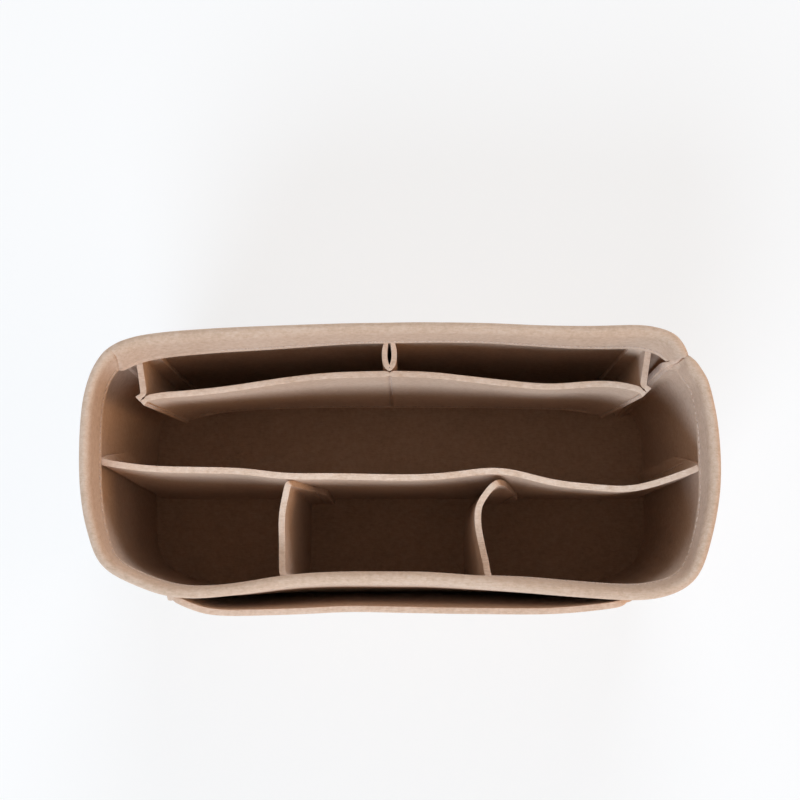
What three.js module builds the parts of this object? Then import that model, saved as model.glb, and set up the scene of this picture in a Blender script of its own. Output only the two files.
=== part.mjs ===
// Purse organizer insert: an open-topped box of thick felt with dividers and pockets.
// Lengths are in millimetres. +X runs along the insert, +Y towards its back wall and +Z up.
// The origin is the middle of the underside. Every piece is a strip or a sheet of one felt.
import * as THREE from 'three';
import { toCreasedNormals } from 'three/addons/utils/BufferGeometryUtils.js';

// Felt and sewing
const felt = 3;
const clearance = 0.3;
const edgeSoftness = 0.6;
const flangeWidth = 12;

// Box
const rimLength = 300;
const rimDepth = 131;
const baseLength = 282;
const baseDepth = 118;
const height = 160;
const hemDrop = 20;
const baseSquareness = 5;

// Box pocket inside the back wall
const innerPocketLeftGap = 26.4;
const innerPocketRightGap = 32.6;
const innerPocketMouth = 22.6;
const innerPocketFloorDepth = 12;
const innerPocketHeight = 106;
const innerPocketFoot = 8;
const gussetSplay = 3;
const cornerSeam = 4;

// Pen loop that splits the box pocket
const penLoopOffset = -4.8;
const penLoopWidth = 7.2;
const penLoopWall = 2.8;
const penLoopDepth = 16.4;

// Dividers
const dividerBend = 4;
const sharpBend = 2.5;
const peelBend = 9;

// Flat pockets outside the front and back walls
const frontPocketWidth = 228;
const backPocketWidth = 210;
const outerPocketTop = 122;
const outerPocketFoot = 8;
const frontPocketBow = 6.6;
const backPocketBow = 7.9;

// Facets
const backSteps = 34;
const wrapSteps = 76;
const wallRows = 4;
const dividerSteps = 36;
const shortSteps = 12;
const pocketSteps = 40;
const bendSteps = 4;
const foldSteps = 8;
const loopSteps = 6;

// The rim seen from above, anticlockwise, as shares of half the rim's length and depth.
// The long sides are pulled in at their middles, the front one more than the back one.
const backRimShares = [
  [0.915, 0.772], [0.895, 0.836], [0.871, 0.905], [0.839, 0.944], [0.796, 0.975],
  [0.745, 0.982], [0.631, 0.974], [0.442, 0.977], [0.287, 0.992], [0.063, 1],
  [-0.197, 0.99], [-0.41, 0.97], [-0.628, 0.944], [-0.741, 0.927], [-0.804, 0.91],
  [-0.851, 0.884], [-0.884, 0.857], [-0.914, 0.817],
];
const wrapRimShares = [
  [-0.914, 0.817], [-0.936, 0.77], [-0.968, 0.647], [-0.99, 0.484], [-0.998, 0.306],
  [-1, 0.1], [-0.994, -0.193], [-0.977, -0.428], [-0.958, -0.569], [-0.936, -0.71],
  [-0.914, -0.773], [-0.89, -0.815], [-0.79, -0.92], [-0.731, -0.967], [-0.667, -0.99],
  [-0.599, -0.988], [-0.492, -0.962], [-0.338, -0.902], [-0.185, -0.878], [0, -0.873],
  [0.092, -0.875], [0.308, -0.92], [0.522, -0.971], [0.7, -1], [0.774, -0.995],
  [0.838, -0.96], [0.884, -0.91], [0.911, -0.857], [0.933, -0.78], [0.948, -0.685],
  [0.978, -0.445], [0.996, -0.214], [1, 0.014], [0.993, 0.288], [0.985, 0.405],
  [0.966, 0.585], [0.947, 0.66], [0.931, 0.72], [0.915, 0.772],
];

// The long divider's upper edge wanders between these shares. Its lower edge is straight.
const longDividerShares = [
  [-0.803, -0.038], [-0.503, -0.051], [-0.369, -0.089], [-0.226, -0.095], [0.097, -0.098],
  [0.287, -0.056], [0.347, -0.066], [0.497, -0.151], [0.614, -0.177], [0.724, -0.191],
  [0.808, -0.151], [0.872, -0.101],
];
const longDividerLeftShare = 0.006;
const longDividerRightShare = -0.028;
const longDividerFootShare = -0.073;

// Each short divider: a share of half the length, and how far it has come from the long
// divider to the front wall.
const leftDividerShares = [[-0.355, 0], [-0.373, 0.33], [-0.372, 0.66], [-0.37, 1]];
const leftDividerFootShares = [[-0.365, 0], [-0.367, 0.33], [-0.369, 0.66], [-0.37, 1]];
const rightDividerShares = [
  [0.307, 0], [0.254, 0.27], [0.249, 0.43], [0.259, 0.63], [0.276, 0.87], [0.28, 1],
];
const rightDividerFootShares = [
  [0.287, 0], [0.267, 0.27], [0.266, 0.43], [0.266, 0.63], [0.27, 0.87], [0.272, 1],
];

// The inner pocket's panel: how far along it is, and how far it is drawn in from the
// pocket's full mouth to the pen loop.
const pocketDrawnInShares = [
  [0, 0.27], [0.03, 0.06], [0.07, 0], [0.15, 0.12], [0.23, 0.43], [0.31, 0.77],
  [0.39, 0.95], [0.49, 1], [0.56, 0.93], [0.64, 0.62], [0.735, 0.3], [0.81, 0.16],
  [0.92, 0.48], [0.97, 0.27], [1, 0.25],
];

// The mouth of each outer pocket: a share of half the pocket's width, and a share of its bow.
const frontPocketBowShares = [
  [-0.97, 0], [-0.93, 0.2], [-0.85, 0.79], [-0.76, 1], [-0.63, 1], [-0.42, 0.89],
  [-0.21, 0.68], [0, 0.7], [0.42, 0.82], [0.63, 0.82], [0.76, 0.68], [0.93, 0.32], [0.99, 0],
];
const backPocketBowShares = [
  [-0.9, 0], [-0.75, 0.4], [-0.4, 0.86], [0, 1], [0.4, 0.86], [0.75, 0.4], [0.9, 0],
];

const feltColour = 0xc3a58c;
const feltRoughness = 0.95;
const creaseAngle = Math.PI / 5;

const insideFace = felt;
const onInsideFace = felt + clearance + felt / 2;
const onOutsideFace = -(clearance + felt / 2);
const hemFoot = height - hemDrop;
const dividerTop = hemFoot - clearance;
const dividerFoot = felt + clearance;
const innerPocketFloor = dividerTop - innerPocketHeight;

// Plan lines

function curveThrough(points, steps) {
  const knots = points.map((point) => new THREE.Vector3(point.x, point.y, 0));
  const curve = new THREE.CatmullRomCurve3(knots, false, 'centripetal');
  return curve.getSpacedPoints(steps).map((point) => new THREE.Vector2(point.x, point.y));
}

function scaled(shares, length, depth) {
  return shares.map(([x, y]) => new THREE.Vector2(x * length / 2, y * depth / 2));
}

function moved(point, target, distance) {
  const step = target.clone().sub(point).setLength(distance);
  return step.add(point);
}

// Gives each point of a plan line its direction across the felt, to the left of travel,
// long enough to keep the felt's thickness where the line turns.
function stationsAlong(points, closed = false) {
  const count = points.length;
  return points.map((point, index) => {
    const hasLast = closed || index > 0;
    const hasNext = closed || index < count - 1;
    const last = hasLast ? points[(index + count - 1) % count] : point;
    const next = hasNext ? points[(index + 1) % count] : point;
    const leaving = next.clone().sub(hasNext ? point : last).normalize();
    const arriving = (hasLast ? point : next).clone().sub(last).normalize();
    const along = arriving.add(leaving).normalize();
    const across = new THREE.Vector2(-along.y, along.x).divideScalar(along.dot(leaving));
    return { point, across };
  });
}

// A wall stands straight between a lower and an upper plan line.
function standingWall(lowerPoints, upperPoints, lowerZ, upperZ, closed = false) {
  const lower = stationsAlong(lowerPoints, closed);
  const upper = stationsAlong(upperPoints, closed);
  return { lower, upper, lowerZ, upperZ, closed };
}

// The plan line of a wall at one height, a distance across to its left.
function lineAt(wall, z, across) {
  const share = (z - wall.lowerZ) / (wall.upperZ - wall.lowerZ);
  return wall.lower.map((low, index) => {
    const high = wall.upper[index];
    const direction = low.across.clone().lerp(high.across, share);
    return low.point.clone().lerp(high.point, share).addScaledVector(direction, across);
  });
}

// The same line as something to seat other felt on: a closed one comes back to its start.
function seatLine(wall, z, across) {
  const line = lineAt(wall, z, across);
  return wall.closed ? [...line, line[0]] : line;
}

// Where a plan line passes a value of x or y. Side +1 takes the crossing that lies
// furthest along the other axis, and side -1 the one furthest back.
function crossing(line, axis, value, side) {
  const other = axis === 'x' ? 'y' : 'x';
  let found = null;
  line.slice(1).forEach((to, index) => {
    const from = line[index];
    if ((from[axis] - value) * (to[axis] - value) > 0) return;
    const point = from.clone().lerp(to, (value - from[axis]) / (to[axis] - from[axis]));
    if (!found || side * point[other] > side * found[other]) found = point;
  });
  return found;
}

function bend(before, corner, after, reach) {
  const start = moved(corner, before, reach);
  const end = moved(corner, after, reach);
  return new THREE.QuadraticBezierCurve(start, corner, end).getPoints(bendSteps);
}

// A strip whose two ends are bent over into flanges that lie on other felt.
function flangedLine(firstTip, knots, lastTip, firstReach, lastReach, steps) {
  const first = knots[0];
  const last = knots.at(-1);
  const start = moved(first, knots[1], firstReach);
  const end = moved(last, knots.at(-2), lastReach);
  const web = curveThrough([start, ...knots.slice(1, -1), end], steps).slice(1, -1);
  return [
    firstTip, ...bend(firstTip, first, start, firstReach),
    ...web, ...bend(end, last, lastTip, lastReach), lastTip,
  ];
}

// Solids

// Sweeps a section along a wall. Each corner of the section lies a distance across the
// wall and at a height, and the corners run anticlockwise seen against the travel.
function sweptSection(wall, section) {
  const stations = wall.lower.length;
  const rows = section.map(({ across, z }) => {
    return lineAt(wall, z, across).map((point) => [point.x, point.y, z]);
  });
  const at = (corner, station) => (corner % section.length) * stations + (station % stations);
  const spans = wall.closed ? stations : stations - 1;
  const index = [];
  for (let corner = 0; corner < section.length; corner += 1) {
    for (let station = 0; station < spans; station += 1) {
      const near = [at(corner, station), at(corner + 1, station)];
      const far = [at(corner, station + 1), at(corner + 1, station + 1)];
      index.push(near[0], near[1], far[1], near[0], far[1], far[0]);
    }
  }
  if (!wall.closed) {
    const outline = section.map(({ across, z }) => new THREE.Vector2(across, z));
    for (const [a, b, c] of THREE.ShapeUtils.triangulateShape(outline, [])) {
      index.push(at(c, 0), at(b, 0), at(a, 0));
      index.push(at(a, spans), at(b, spans), at(c, spans));
    }
  }
  const geometry = new THREE.BufferGeometry();
  geometry.setAttribute('position', new THREE.Float32BufferAttribute(rows.flat(2), 3));
  geometry.setIndex(index);
  return geometry;
}

// A single thickness of felt on its plan line, with softened corners on its upper edge.
function sheetSection(wall, rows = 1, thickness = felt) {
  const half = thickness / 2;
  const sideTop = wall.upperZ - edgeSoftness;
  const left = [];
  for (let row = 0; row <= rows; row += 1) {
    left.push({ across: half, z: THREE.MathUtils.lerp(wall.lowerZ, sideTop, row / rows) });
  }
  const right = left.map(({ z }) => ({ across: -half, z })).reverse();
  return [
    ...left,
    { across: half - edgeSoftness, z: wall.upperZ },
    { across: edgeSoftness - half, z: wall.upperZ },
    ...right,
  ];
}

// The box wall: felt from the floor to the rim, folded inwards and down again as a hem.
function hemmedSection() {
  const foldRadius = felt + clearance / 2;
  const foldZ = height - foldRadius;
  const inside = [];
  for (let row = 0; row <= wallRows; row += 1) {
    inside.push({ across: felt, z: foldZ * row / wallRows });
  }
  const outside = inside.map(({ z }) => ({ across: 0, z })).reverse();
  const fold = [];
  for (let step = 0; step < foldSteps; step += 1) {
    const angle = Math.PI * step / foldSteps;
    fold.push({
      across: foldRadius + foldRadius * Math.cos(angle),
      z: foldZ + foldRadius * Math.sin(angle),
    });
  }
  return [
    ...inside,
    { across: felt + clearance, z: foldZ },
    { across: felt + clearance, z: hemFoot },
    { across: 2 * foldRadius, z: hemFoot },
    ...fold,
    ...outside,
  ];
}

function flatSheet(outline, z) {
  const geometry = new THREE.ExtrudeGeometry(new THREE.Shape(outline), {
    depth: felt,
    bevelEnabled: false,
  });
  return geometry.translate(0, 0, z);
}

function feltPiece(name, geometry) {
  const material = new THREE.MeshStandardMaterial({
    color: feltColour,
    roughness: feltRoughness,
    metalness: 0,
  });
  const piece = new THREE.Mesh(toCreasedNormals(geometry, creaseAngle), material);
  piece.name = name;
  return piece;
}

// Box

// The floor is a rounded rectangle, and each point of the rim stands over the point of
// the floor's outline that has the same bearing.
function overFloor(rimPoint) {
  const x = rimPoint.x / rimLength;
  const y = rimPoint.y / rimDepth;
  const sum = Math.abs(x) ** baseSquareness + Math.abs(y) ** baseSquareness;
  const reach = sum ** (-1 / baseSquareness);
  return new THREE.Vector2(x * reach * baseLength / 2, y * reach * baseDepth / 2);
}

function boxWall() {
  const back = curveThrough(scaled(backRimShares, rimLength, rimDepth), backSteps);
  const wrap = curveThrough(scaled(wrapRimShares, rimLength, rimDepth), wrapSteps);
  const rim = [...back.slice(0, -1), ...wrap.slice(0, -1)];
  return standingWall(rim.map(overFloor), rim, 0, height, true);
}

// Part of the box wall, drawn back at both ends by half the gap of an upright seam.
function wallPanel(wall, first, steps) {
  const shifted = ({ point, across }, distance) => {
    const along = new THREE.Vector2(across.y, -across.x).normalize();
    return { point: point.clone().addScaledVector(along, distance), across };
  };
  const part = (line) => {
    const picked = [];
    for (let step = 0; step <= steps; step += 1) {
      picked.push(line[(first + step) % line.length]);
    }
    picked[0] = shifted(picked[0], clearance / 2);
    picked[steps] = shifted(picked[steps], -clearance / 2);
    return picked;
  };
  return { ...wall, lower: part(wall.lower), upper: part(wall.upper), closed: false };
}

function box(wall) {
  const floorOutline = lineAt(wall, 0, insideFace + clearance);
  return [
    feltPiece('base_panel', flatSheet(floorOutline, 0)),
    feltPiece('back_wall', sweptSection(wallPanel(wall, 0, backSteps), hemmedSection())),
    feltPiece('wall_wrap', sweptSection(wallPanel(wall, backSteps, wrapSteps), hemmedSection())),
  ];
}

// Dividers

// The divider's end at one height: the corner of its flange and the flange's tip, which
// lies further back on the end wall.
function endFlange(seat, y, side) {
  const corner = crossing(seat, 'y', y, side);
  const tip = crossing(seat, 'y', y + flangeWidth, side);
  return { corner, tip };
}

function longDivider(wall) {
  const lineFor = (z, depth, leftShare, rightShare, middle) => {
    const seat = seatLine(wall, z, onInsideFace);
    const left = endFlange(seat, leftShare * depth / 2, -1);
    const right = endFlange(seat, rightShare * depth / 2, 1);
    const knots = [left.corner, ...middle, right.corner];
    return flangedLine(left.tip, knots, right.tip, dividerBend, dividerBend, dividerSteps);
  };
  const middle = scaled(longDividerShares, rimLength, rimDepth);
  const foot = longDividerFootShare;
  const footMiddle = longDividerShares.map(([x]) => {
    return new THREE.Vector2(x * baseLength / 2, foot * baseDepth / 2);
  });
  const upper = lineFor(dividerTop, rimDepth, longDividerLeftShare, longDividerRightShare, middle);
  const lower = lineFor(dividerFoot, baseDepth, foot, foot, footMiddle);
  return standingWall(lower, upper, dividerFoot, dividerTop);
}

// Both flanges of a short divider turn towards +X, one on the long divider's front face
// and one on the front wall.
function shortDivider(wall, divider, upperShares, lowerShares, backReach, frontReach) {
  const lineFor = (z, length, shares) => {
    const behind = seatLine(divider, z, -(felt + clearance));
    const inFront = seatLine(wall, z, onInsideFace);
    const backX = shares[0][0] * length / 2;
    const frontX = shares.at(-1)[0] * length / 2;
    const back = crossing(behind, 'x', backX, -1);
    const front = crossing(inFront, 'x', frontX, -1);
    const knots = shares.map(([x, way]) => {
      return new THREE.Vector2(x * length / 2, THREE.MathUtils.lerp(back.y, front.y, way));
    });
    const backTip = crossing(behind, 'x', backX + flangeWidth + backReach, -1);
    const frontTip = crossing(inFront, 'x', frontX + flangeWidth, -1);
    return flangedLine(backTip, knots, frontTip, backReach, frontReach, shortSteps);
  };
  const upper = lineFor(dividerTop, rimLength, upperShares);
  const lower = lineFor(dividerFoot, baseLength, lowerShares);
  return standingWall(lower, upper, dividerFoot, dividerTop);
}

function dividers(wall) {
  const long = longDivider(wall);
  const left = shortDivider(
    wall, long, leftDividerShares, leftDividerFootShares, sharpBend, dividerBend,
  );
  const right = shortDivider(
    wall, long, rightDividerShares, rightDividerFootShares, peelBend, dividerBend,
  );
  return [
    feltPiece('long_divider', sweptSection(long, sheetSection(long, wallRows))),
    feltPiece('short_divider_left', sweptSection(left, sheetSection(left, wallRows))),
    feltPiece('short_divider_right', sweptSection(right, sheetSection(right, wallRows))),
  ];
}

// Inner pocket

// The pocket's plan lines at one height. The panel and the two gussets meet in corner
// seams that point outwards. Each gusset splays towards the back wall and ends there in a
// foot that is turned inwards.
function innerPocketLines(wall, z, depth, middleDepth) {
  const seat = seatLine(wall, z, onInsideFace);
  const wallY = (x) => crossing(seat, 'x', x, 1).y;
  const halfLength = THREE.MathUtils.lerp(baseLength, rimLength, z / height) / 2;
  const left = innerPocketLeftGap - halfLength;
  const right = halfLength - innerPocketRightGap;
  const knots = pocketDrawnInShares.map(([way, drawnIn]) => {
    const x = THREE.MathUtils.lerp(left, right, way);
    const drawn = THREE.MathUtils.lerp(depth, middleDepth, drawnIn);
    return new THREE.Vector2(x, wallY(x) - drawn);
  });
  const cornerLines = (corner, side) => {
    const outwards = new THREE.Vector2(side, -1).normalize();
    const apart = new THREE.Vector2(-side, -1).setLength((felt + clearance) / 2);
    const panelBend = corner.clone().add(apart);
    const gussetBend = corner.clone().sub(apart);
    const rootX = gussetBend.x + side * gussetSplay;
    const footX = rootX - side * innerPocketFoot;
    const root = new THREE.Vector2(rootX, wallY(rootX));
    const foot = new THREE.Vector2(footX, wallY(footX));
    const rootBend = bend(gussetBend, root, foot, felt);
    const panelTip = panelBend.clone().addScaledVector(outwards, cornerSeam);
    const gussetTip = gussetBend.clone().addScaledVector(outwards, cornerSeam);
    return { panelBend, panelTip, gusset: [gussetTip, gussetBend, ...rootBend, foot] };
  };
  const leftCorner = cornerLines(knots[0], -1);
  const rightCorner = cornerLines(knots.at(-1), 1);
  const web = [leftCorner.panelBend, ...knots.slice(1, -1), rightCorner.panelBend];
  const panel = [leftCorner.panelTip, ...curveThrough(web, pocketSteps), rightCorner.panelTip];
  return { panel, left: leftCorner.gusset, right: rightCorner.gusset };
}

// The strip that closes the pocket below reaches from the back wall to the panel's front.
function innerPocketBottom(wall, lines) {
  const z = innerPocketFloor;
  const bottomZ = z - felt - clearance;
  const along = stationsAlong(lines.panel.slice(1, -1));
  const front = along.map(({ point, across }) => point.clone().addScaledVector(across, -felt / 2));
  const behind = seatLine(wall, bottomZ, insideFace + clearance);
  const back = front.map((point) => crossing(behind, 'x', point.x, 1)).reverse();
  return flatSheet([...front, ...back], bottomZ);
}

// The loop is a flattened tube that lies across the pocket. It touches the back wall's
// felt on one side and the pocket's panel on the other.
function penLoopLine(wall, lines, z) {
  const radius = (penLoopWidth - penLoopWall) / 2;
  const reach = penLoopWidth / 2 + clearance;
  const backY = crossing(seatLine(wall, z, insideFace), 'x', penLoopOffset, 1).y - reach;
  const frontY = crossing(lines.panel, 'x', penLoopOffset, 1).y + felt / 2 + reach;
  const line = [];
  for (let step = 0; step <= loopSteps; step += 1) {
    const angle = Math.PI * step / loopSteps;
    line.push(new THREE.Vector2(
      penLoopOffset + radius * Math.cos(angle),
      backY + radius * Math.sin(angle),
    ));
  }
  const frontEnd = line.map((point) => {
    return new THREE.Vector2(2 * penLoopOffset - point.x, frontY + backY - point.y);
  });
  return [...line, ...frontEnd];
}

function innerPocket(wall) {
  const middle = penLoopDepth + clearance;
  const upper = innerPocketLines(wall, dividerTop, innerPocketMouth, middle);
  const lower = innerPocketLines(wall, innerPocketFloor, innerPocketFloorDepth, innerPocketFloorDepth);
  const standing = (name) => {
    const sheet = standingWall(lower[name], upper[name], innerPocketFloor, dividerTop);
    return sweptSection(sheet, sheetSection(sheet));
  };
  const loop = standingWall(
    penLoopLine(wall, lower, innerPocketFloor),
    penLoopLine(wall, upper, dividerTop),
    innerPocketFloor, dividerTop, true,
  );
  return [
    feltPiece('inner_pocket_panel', standing('panel')),
    feltPiece('inner_pocket_gusset_left', standing('left')),
    feltPiece('inner_pocket_gusset_right', standing('right')),
    feltPiece('inner_pocket_bottom', innerPocketBottom(wall, lower)),
    feltPiece('pen_loop', sweptSection(loop, sheetSection(loop, 1, penLoopWall))),
  ];
}

// Outer pockets

// Side -1 is the front and side +1 the back. The lower edge lies on the wall. The upper
// edge lies on it at both ends and bows away from the chord between them.
function outerPocket(name, wall, side, width, bow, bowShares) {
  const half = width / 2;
  const lineFor = (z, reach) => {
    const seat = seatLine(wall, z, onOutsideFace);
    const wallPoint = (x) => crossing(seat, 'x', x, side);
    const chord = wallPoint(half - flangeWidth).clone().add(wallPoint(flangeWidth - half)).y / 2;
    const knots = bowShares.map(([way, share]) => {
      return new THREE.Vector2(way * half, chord + side * reach * share);
    });
    const bowed = curveThrough(knots, pocketSteps);
    const line = [];
    for (let step = 0; step <= pocketSteps; step += 1) {
      const x = THREE.MathUtils.lerp(-half, half, step / pocketSteps);
      const onWall = wallPoint(x);
      const standing = crossing(bowed, 'x', x, side);
      const free = reach > 0 && standing && side * standing.y > side * onWall.y;
      line.push(free ? standing : onWall);
    }
    return line;
  };
  const upper = lineFor(outerPocketTop, bow);
  const lower = lineFor(outerPocketFoot, 0);
  const sheet = standingWall(lower, upper, outerPocketFoot, outerPocketTop);
  return feltPiece(name, sweptSection(sheet, sheetSection(sheet, wallRows)));
}

function outerPockets(wall) {
  const frontShares = frontPocketBowShares;
  const backShares = backPocketBowShares;
  return [
    outerPocket('outer_pocket_front', wall, -1, frontPocketWidth, frontPocketBow, frontShares),
    outerPocket('outer_pocket_back', wall, 1, backPocketWidth, backPocketBow, backShares),
  ];
}

function organizerInsert() {
  const insert = new THREE.Group();
  const wall = boxWall();
  insert.add(...box(wall), ...dividers(wall), ...innerPocket(wall), ...outerPockets(wall));
  const middle = new THREE.Box3().setFromObject(insert).getCenter(new THREE.Vector3());
  insert.position.set(-middle.x, -middle.y, 0);
  return insert;
}

export default organizerInsert();
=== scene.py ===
# %% [markdown]
# # A felt organizer insert for a handbag
# The real object is an open box sewn from thick needle felt. One strip makes its front and
# ends, a second panel its back, and both are folded inwards at the top as a hem. Dividers
# and pockets of the same felt are sewn inside and outside.
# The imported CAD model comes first, as a fixed frame that says where each piece is.

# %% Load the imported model
import bisect
import math

import bmesh
import bpy
import numpy
from mathutils import Matrix, Vector, geometry, noise
from mathutils.bvhtree import BVHTree


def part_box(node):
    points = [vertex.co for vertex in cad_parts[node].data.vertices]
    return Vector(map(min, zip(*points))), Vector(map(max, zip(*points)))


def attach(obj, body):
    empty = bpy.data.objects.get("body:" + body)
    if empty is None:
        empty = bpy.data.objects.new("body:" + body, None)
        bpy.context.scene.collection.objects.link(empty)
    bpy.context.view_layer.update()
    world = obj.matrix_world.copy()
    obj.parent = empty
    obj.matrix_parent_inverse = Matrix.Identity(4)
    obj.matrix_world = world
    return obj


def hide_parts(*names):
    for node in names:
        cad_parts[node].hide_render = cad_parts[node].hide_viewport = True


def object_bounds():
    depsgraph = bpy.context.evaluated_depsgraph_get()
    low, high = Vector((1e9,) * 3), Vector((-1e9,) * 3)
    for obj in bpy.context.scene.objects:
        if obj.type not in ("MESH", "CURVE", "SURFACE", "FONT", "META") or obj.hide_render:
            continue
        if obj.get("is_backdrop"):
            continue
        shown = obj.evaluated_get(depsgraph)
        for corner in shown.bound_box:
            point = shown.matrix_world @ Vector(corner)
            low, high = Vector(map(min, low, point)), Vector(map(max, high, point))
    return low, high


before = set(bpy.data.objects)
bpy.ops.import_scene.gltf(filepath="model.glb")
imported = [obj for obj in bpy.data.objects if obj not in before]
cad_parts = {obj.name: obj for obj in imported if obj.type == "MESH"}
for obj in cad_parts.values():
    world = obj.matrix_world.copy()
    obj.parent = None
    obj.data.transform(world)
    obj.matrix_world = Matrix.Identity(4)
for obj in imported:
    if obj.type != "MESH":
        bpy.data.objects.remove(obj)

MM = 0.001
cad_low, cad_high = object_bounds()
print("CAD box in mm:", [round(side / MM, 1) for side in cad_high - cad_low])

# %% [markdown]
# ## Camera
# The photograph looks almost straight down into the insert, from a little in front of it.
# A camera could be placed by eye, but its distance shows in how the walls converge, so it
# is set from three measured values: elevation, distance and focal length.

# %% Camera
def add_object(name, data):
    added = bpy.data.objects.new(name, data)
    bpy.context.scene.collection.objects.link(added)
    return added


VIEW_ELEVATION = math.radians(81.5)
VIEW_DISTANCE = 700 * MM
FOCAL_LENGTH = 67.4
PICTURE_CENTRE_BEHIND_MIDDLE = 27.9 * MM

camera_data = bpy.data.cameras.new("photo_camera")
camera_data.lens = FOCAL_LENGTH
camera_data.sensor_width = 36
camera = add_object("photo_camera", camera_data)
looks_at = Vector(((cad_low.x + cad_high.x) / 2, PICTURE_CENTRE_BEHIND_MIDDLE, cad_high.z))
backwards = Vector((0, -math.cos(VIEW_ELEVATION), math.sin(VIEW_ELEVATION)))
camera.location = looks_at + backwards * VIEW_DISTANCE
camera.rotation_euler = backwards.to_track_quat("Z", "Y").to_euler()
bpy.context.scene.camera = camera
print("camera at", [round(value, 3) for value in camera.location])

# %% [markdown]
# ## Materials
# Colours are written as sRGB hex values, as a colour picker shows them. Blender's sockets
# want linear light, so one function turns them. A second one adds a node with its settings
# and links, which keeps each material readable as a list of nodes.

# %% Two helpers for materials
def linear(hex_colour):
    channels = [int(hex_colour[place:place + 2], 16) / 255 for place in (1, 3, 5)]
    return [c / 12.92 if c <= 0.04045 else ((c + 0.055) / 1.055) ** 2.4 for c in channels] + [1]


def add_node(material, kind, sockets=None, **settings):
    """Adds a node. A socket's value is a number, a colour or another node's output."""
    tree = material.node_tree
    node = tree.nodes.new(kind)
    for name, value in settings.items():
        setattr(node, name, value)
    for name, value in (sockets or {}).items():
        if isinstance(value, bpy.types.NodeSocket):
            tree.links.new(value, node.inputs[name])
        else:
            node.inputs[name].default_value = value
    return node


def new_material(name):
    material = bpy.data.materials.new(name)
    material.use_nodes = True
    material.node_tree.nodes.clear()
    return material


# %% [markdown]
# ### Needle felt
# The box is cut from needle felt: polyester and wool fibres of about 0.03 mm, punched into
# a mat 3 mm thick. To the eye it is matt and slightly mottled, with short fibres that lie
# in every direction and catch light at a low angle. A cut edge shows fibre ends instead of
# fibres that lie flat, so it is rougher. Its paler colour is partly the fibre ends and partly
# a painted highlight, for edges that face up into the light.
# One fine noise would look like sand. Three noises, each stretched along its own direction,
# draw crossing fibres instead. They read Object coordinates, so that the grain runs through
# cut edges as it does in a real mat. Fibres are drawn 0.5 mm wide, because their true width
# is too fine to show. Clumps of fibre and slow clouds of dye change the colour.

# %% Needle felt
FIBRE_WIDTH = 0.5 * MM
FIBRE_LENGTH = 4 * MM
CLUMP = 2.2 * MM
CLOUD = 34 * MM
CLUMP_SHARE = 0.45
CLOUD_SHARE = 0.17
TONE_PLACES = (0.4, 0.53, 0.66)
FIBRE_TURNS = [(0.3, 0.2, 0.4), (1.1, 0.9, 1.5), (2.1, -0.7, 2.6)]


def felt_material(name, tones, relief_height):
    """Felt in dark, middle and light tones, with a relief this many millimetres high."""
    felt = new_material(name)
    place = add_node(felt, "ShaderNodeTexCoord").outputs["Object"]
    fibres = None
    for turn in FIBRE_TURNS:
        laid = add_node(
            felt, "ShaderNodeMapping",
            {
                "Vector": place,
                "Rotation": turn,
                "Scale": (1 / FIBRE_LENGTH, 1 / FIBRE_WIDTH, 1 / FIBRE_WIDTH),
            },
        ).outputs["Vector"]
        grain = add_node(
            felt, "ShaderNodeTexNoise",
            {"Vector": laid, "Scale": 1, "Detail": 2, "Roughness": 0.6},
        ).outputs["Fac"]
        fibres = grain if fibres is None else add_node(
            felt, "ShaderNodeMath", {0: fibres, 1: grain}, operation="MAXIMUM",
        ).outputs["Value"]
    clumps = add_node(
        felt, "ShaderNodeTexNoise",
        {"Vector": place, "Scale": 1 / CLUMP, "Detail": 3, "Roughness": 0.6},
    ).outputs["Fac"]
    clouds = add_node(
        felt, "ShaderNodeTexNoise",
        {"Vector": place, "Scale": 1 / CLOUD, "Detail": 2, "Roughness": 0.5},
    ).outputs["Fac"]
    relief = add_node(
        felt, "ShaderNodeMix", {"Factor": CLUMP_SHARE, "A": fibres, "B": clumps},
    ).outputs["Result"]
    shade = add_node(
        felt, "ShaderNodeMix", {"Factor": CLOUD_SHARE, "A": relief, "B": clouds},
    ).outputs["Result"]
    colour = add_node(felt, "ShaderNodeValToRGB", {"Fac": shade})
    colours = colour.color_ramp
    colours.elements.new(TONE_PLACES[1])
    for element, position, tone in zip(colours.elements, TONE_PLACES, tones):
        element.position = position
        element.color = linear(tone)
    bump = add_node(
        felt, "ShaderNodeBump",
        {"Height": relief, "Strength": 0.8, "Distance": relief_height * MM},
    )
    surface = add_node(
        felt, "ShaderNodeBsdfPrincipled",
        {
            "Base Color": colour.outputs["Color"],
            "Normal": bump.outputs["Normal"],
            "Roughness": 0.95,
            "IOR": 1.5,
            "Specular IOR Level": 0.2,
            "Sheen Weight": 0.2,
            "Sheen Roughness": 0.5,
            "Sheen Tint": linear("#F6EAE0"),
        },
    )
    add_node(felt, "ShaderNodeOutputMaterial", {"Surface": surface.outputs["BSDF"]})
    print(name, "has", len(felt.node_tree.nodes), "nodes")
    return felt


needle_felt = felt_material("needle_felt", ("#C1A187", "#D1B299", "#DBC0AA"), 0.5)
# Cut edges: paler fibre ends, together with a painted highlight as if lit from above.
cut_edge_with_painted_highlight = felt_material("cut_edge_with_painted_highlight", ("#D2B095", "#E3C5AD", "#EFD4BF"), 0.8)

# %% [markdown]
# ### Sewing thread
# The seams are sewn with spun polyester thread, two plies twisted together. It is a little
# smoother than the felt, and dyed to match it. The twist is a wave along the thread, 1 mm
# from turn to turn, painted into its colour: painted shade between the plies and a painted
# highlight on them.

# %% Sewing thread
PLY_TURN = 1 * MM

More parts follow.
